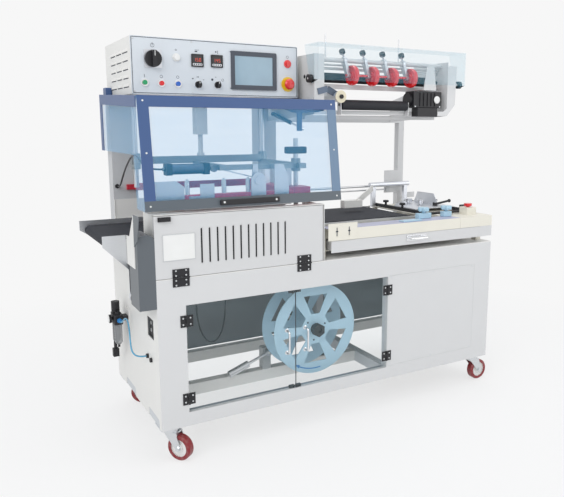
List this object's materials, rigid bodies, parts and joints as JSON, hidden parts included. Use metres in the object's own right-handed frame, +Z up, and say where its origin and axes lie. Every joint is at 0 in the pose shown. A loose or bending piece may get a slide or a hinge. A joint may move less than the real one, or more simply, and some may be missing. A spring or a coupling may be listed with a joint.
{
  "type": "l-bar sealing machine",
  "caption": "Automatic L-bar film sealer: hooded red sealing jaws over an outfeed belt, film unwinder and infeed table on a wheeled cabinet with clear doors and a control box",
  "frame": {"origin": "bottom centre of the bounding box of the rigid parts, on the floor under the wheels", "axes": "+X runs right along the machine from outfeed to infeed, +Y runs to the back, +Z is up"},
  "size_m": [1.83, 0.722, 1.655],
  "materials": {
    "frame_paint": "satin powder coat",
    "front_paint": "fine textured powder coat",
    "cabinet_paint": "fine textured powder coat",
    "column_paint": "fine textured powder coat",
    "clear_pane": "clear acrylic sheet",
    "tinted_pane": "light blue clear sheet",
    "dark_trim": "satin black",
    "black_plastic": "matte black moulding",
    "red_coat": "red non-stick coat",
    "red_plastic": "gloss red",
    "green_plastic": "gloss green",
    "blue_plastic": "gloss blue",
    "bare_steel": "ground steel",
    "polished_steel": "hard chromed",
    "alloy": "natural anodised",
    "belt_rubber": "matte belting",
    "roller_rubber": "ground rubber",
    "wheel_tread": "moulded tread",
    "film_blue": "light blue moulding",
    "hose_plastic": "smooth black",
    "tube_plastic": "smooth blue tube"
  },
  "bodies": {
    "machine": {"base_frame": "frame_paint", "front_panel": "front_paint", "cabinet_panels": "cabinet_paint", "upper_housing": "cabinet_paint", "fixed_fittings": "dark_trim", "rear_columns": "column_paint", "control_box": "front_paint", "panel_fittings": "black_plastic", "unwinder_frame": "alloy", "perforator_arms": "bare_steel", "unwinder_motor": "black_plastic", "infeed_table": "cabinet_paint", "conveyor_belts": "belt_rubber", "former_rails": "alloy", "outfeed_frame": "alloy", "drive_cover": "column_paint", "lower_jaws": "red_coat", "jaw_guides": "polished_steel", "filter_unit": "black_plastic", "spool_stand": "dark_trim", "air_tube": "tube_plastic", "head_hose": "hose_plastic", "window_cable": "hose_plastic"},
    "swivel_fl": {"caster_fork_fl": "polished_steel"},
    "wheel_fl": {"caster_wheel_fl": "wheel_tread"},
    "swivel_fr": {"caster_fork_fr": "polished_steel"},
    "wheel_fr": {"caster_wheel_fr": "wheel_tread"},
    "swivel_rl": {"caster_fork_rl": "polished_steel"},
    "wheel_rl": {"caster_wheel_rl": "wheel_tread"},
    "swivel_rr": {"caster_fork_rr": "polished_steel"},
    "wheel_rr": {"caster_wheel_rr": "wheel_tread"},
    "left_door": {"door_left": "clear_pane"},
    "right_door": {"door_right": "clear_pane"},
    "vent_panel": {"access_panel": "cabinet_paint", "access_fittings": "dark_trim"},
    "hood": {"hood_shell": "tinted_pane", "hood_frame": "dark_trim"},
    "gas_barrel": {"strut_barrel": "dark_trim"},
    "gas_rod": {"strut_rod": "polished_steel"},
    "seal_head": {"jaw_carriage": "bare_steel", "upper_jaws": "red_coat", "jaw_hangers": "alloy"},
    "push_green": {"button_green": "green_plastic"},
    "push_red": {"button_red": "red_plastic"},
    "push_blue": {"button_blue": "blue_plastic"},
    "push_reset": {"button_reset": "red_plastic"},
    "stop_mushroom": {"emergency_stop": "red_plastic"},
    "infeed_mushroom": {"infeed_stop": "red_plastic"},
    "main_dial": {"main_switch": "black_plastic"},
    "selector_left_knob": {"selector_left": "black_plastic"},
    "selector_right_knob": {"selector_right": "black_plastic"},
    "film_cover": {"unwinder_cover": "tinted_pane"},
    "nip_roller": {"rubber_roller": "roller_rubber"},
    "perforators": {"perforator_wheels": "red_plastic"},
    "guide_roller": {"film_roller": "roller_rubber"},
    "drawer": {"infeed_drawer": "cabinet_paint"},
    "former": {"former_plates": "alloy"},
    "clamp": {"clamp_lever": "black_plastic"},
    "scrap_spool": {"spool": "film_blue"},
    "dancer": {"dancer_arm": "bare_steel"}
  },
  "joints": [
    {"name": "caster_swivel_fl", "type": "hinge", "parent": "machine", "child": "swivel_fl", "pos_m": [-0.715, -0.264, 0.1], "axis": [0, 0, 1], "continuous": true},
    {"name": "caster_roll_fl", "type": "hinge", "parent": "swivel_fl", "child": "wheel_fl", "pos_m": [-0.69093, -0.29595, 0.05], "axis": [0.7986, 0.6018, 0], "continuous": true},
    {"name": "caster_swivel_fr", "type": "hinge", "parent": "machine", "child": "swivel_fr", "pos_m": [0.825, -0.264, 0.1], "axis": [0, 0, 1], "continuous": true},
    {"name": "caster_roll_fr", "type": "hinge", "parent": "swivel_fr", "child": "wheel_fr", "pos_m": [0.865, -0.264, 0.05], "axis": [0, 1, 0], "continuous": true},
    {"name": "caster_swivel_rl", "type": "hinge", "parent": "machine", "child": "swivel_rl", "pos_m": [-0.715, 0.311, 0.1], "axis": [0, 0, 1], "continuous": true},
    {"name": "caster_roll_rl", "type": "hinge", "parent": "swivel_rl", "child": "wheel_rl", "pos_m": [-0.67741, 0.29732, 0.05], "axis": [0.342, 0.9397, 0], "continuous": true},
    {"name": "caster_swivel_rr", "type": "hinge", "parent": "machine", "child": "swivel_rr", "pos_m": [0.825, 0.311, 0.1], "axis": [0, 0, 1], "continuous": true},
    {"name": "caster_roll_rr", "type": "hinge", "parent": "swivel_rr", "child": "wheel_rr", "pos_m": [0.78741, 0.29732, 0.05], "axis": [0.342, -0.9397, 0], "continuous": true},
    {"name": "left_door_hinge", "type": "hinge", "parent": "machine", "child": "left_door", "pos_m": [-0.657, -0.318, 0.4], "axis": [0, 0, -1], "range_deg": [0, 120]},
    {"name": "right_door_hinge", "type": "hinge", "parent": "machine", "child": "right_door", "pos_m": [0.261, -0.318, 0.4], "axis": [0, 0, 1], "range_deg": [0, 120]},
    {"name": "vent_panel_hinge", "type": "hinge", "parent": "machine", "child": "vent_panel", "pos_m": [-0.415, -0.318, 0.715], "axis": [1, 0, 0], "range_deg": [0, 100]},
    {"name": "hood_hinge", "type": "hinge", "parent": "machine", "child": "hood", "pos_m": [-0.415, 0.261, 1.395], "axis": [-1, 0, 0], "range_deg": [0, 60]},
    {"name": "strut_swing", "type": "hinge", "parent": "machine", "child": "gas_barrel", "pos_m": [-0.044, 0.193, 1.317], "axis": [-1, 0, 0], "range_deg": [-2, 72]},
    {"name": "strut_stroke", "type": "slide", "parent": "gas_barrel", "child": "gas_rod", "axis": [0, -0.9735, -0.2287], "range_m": [-0.002, 0.1]},
    {"name": "head_lift", "type": "slide", "parent": "machine", "child": "seal_head", "axis": [0, 0, -1], "range_m": [0, 0.095]},
    {"name": "push_green_travel", "type": "slide", "parent": "machine", "child": "push_green", "axis": [0, 1, 0], "range_m": [0, 0.004], "stiffness_N_per_m": 500, "springref_m": -0.002},
    {"name": "push_red_travel", "type": "slide", "parent": "machine", "child": "push_red", "axis": [0, 1, 0], "range_m": [0, 0.004], "stiffness_N_per_m": 500, "springref_m": -0.002},
    {"name": "push_blue_travel", "type": "slide", "parent": "machine", "child": "push_blue", "axis": [0, 1, 0], "range_m": [0, 0.004], "stiffness_N_per_m": 500, "springref_m": -0.002},
    {"name": "push_reset_travel", "type": "slide", "parent": "machine", "child": "push_reset", "axis": [0, 1, 0], "range_m": [0, 0.004], "stiffness_N_per_m": 500, "springref_m": -0.002},
    {"name": "stop_travel", "type": "slide", "parent": "machine", "child": "stop_mushroom", "axis": [0, 1, 0], "range_m": [0, 0.005], "stiffness_N_per_m": 800, "springref_m": -0.002},
    {"name": "infeed_stop_travel", "type": "slide", "parent": "machine", "child": "infeed_mushroom", "axis": [0, 0, -1], "range_m": [0, 0.004], "stiffness_N_per_m": 800, "springref_m": -0.002},
    {"name": "main_switch_turn", "type": "hinge", "parent": "machine", "child": "main_dial", "pos_m": [-0.678, -0.08, 1.509], "axis": [0, 1, 0], "range_deg": [0, 90]},
    {"name": "selector_left_turn", "type": "hinge", "parent": "machine", "child": "selector_left_knob", "pos_m": [-0.502, -0.08, 1.42], "axis": [0, 1, 0], "range_deg": [-45, 45]},
    {"name": "selector_right_turn", "type": "hinge", "parent": "machine", "child": "selector_right_knob", "pos_m": [-0.422, -0.08, 1.421], "axis": [0, 1, 0], "range_deg": [-45, 45]},
    {"name": "film_cover_hinge", "type": "hinge", "parent": "machine", "child": "film_cover", "pos_m": [0.335, -0.149, 1.457], "axis": [1, 0, 0], "range_deg": [0, 45]},
    {"name": "nip_roller_spin", "type": "hinge", "parent": "machine", "child": "nip_roller", "pos_m": [0.335, -0.082, 1.469], "axis": [1, 0, 0], "continuous": true},
    {"name": "perforator_spin", "type": "hinge", "parent": "machine", "child": "perforators", "pos_m": [0.335, -0.14617, 1.47802], "axis": [1, 0, 0], "continuous": true},
    {"name": "guide_roller_spin", "type": "hinge", "parent": "machine", "child": "guide_roller", "pos_m": [0.295, -0.134, 1.353], "axis": [1, 0, 0], "continuous": true},
    {"name": "drawer_slide", "type": "slide", "parent": "machine", "child": "drawer", "axis": [0, -1, 0], "range_m": [0, 0.35]},
    {"name": "former_slide", "type": "slide", "parent": "machine", "child": "former", "axis": [0, 1, 0], "range_m": [-0.04, 0.025]},
    {"name": "clamp_turn", "type": "hinge", "parent": "former", "child": "clamp", "pos_m": [0.765, -0.024, 0.87], "axis": [0, 0, 1], "range_deg": [-75, 0]},
    {"name": "spool_spin", "type": "hinge", "parent": "machine", "child": "scrap_spool", "pos_m": [-0.049, -0.154, 0.393], "axis": [0, 1, 0], "continuous": true},
    {"name": "dancer_swing", "type": "hinge", "parent": "machine", "child": "dancer", "pos_m": [-0.208, -0.07, 0.268], "axis": [0, 1, 0], "range_deg": [0, 40]}
  ],
  "couplings": [
    {"joint": "strut_swing", "follows": "hood_hinge", "ratio": 1.1058},
    {"joint": "strut_stroke", "follows": "hood_hinge", "m_per_rad": 0.092315},
    {"joint": "perforator_spin", "follows": "nip_roller_spin", "ratio": -0.5}
  ]
}
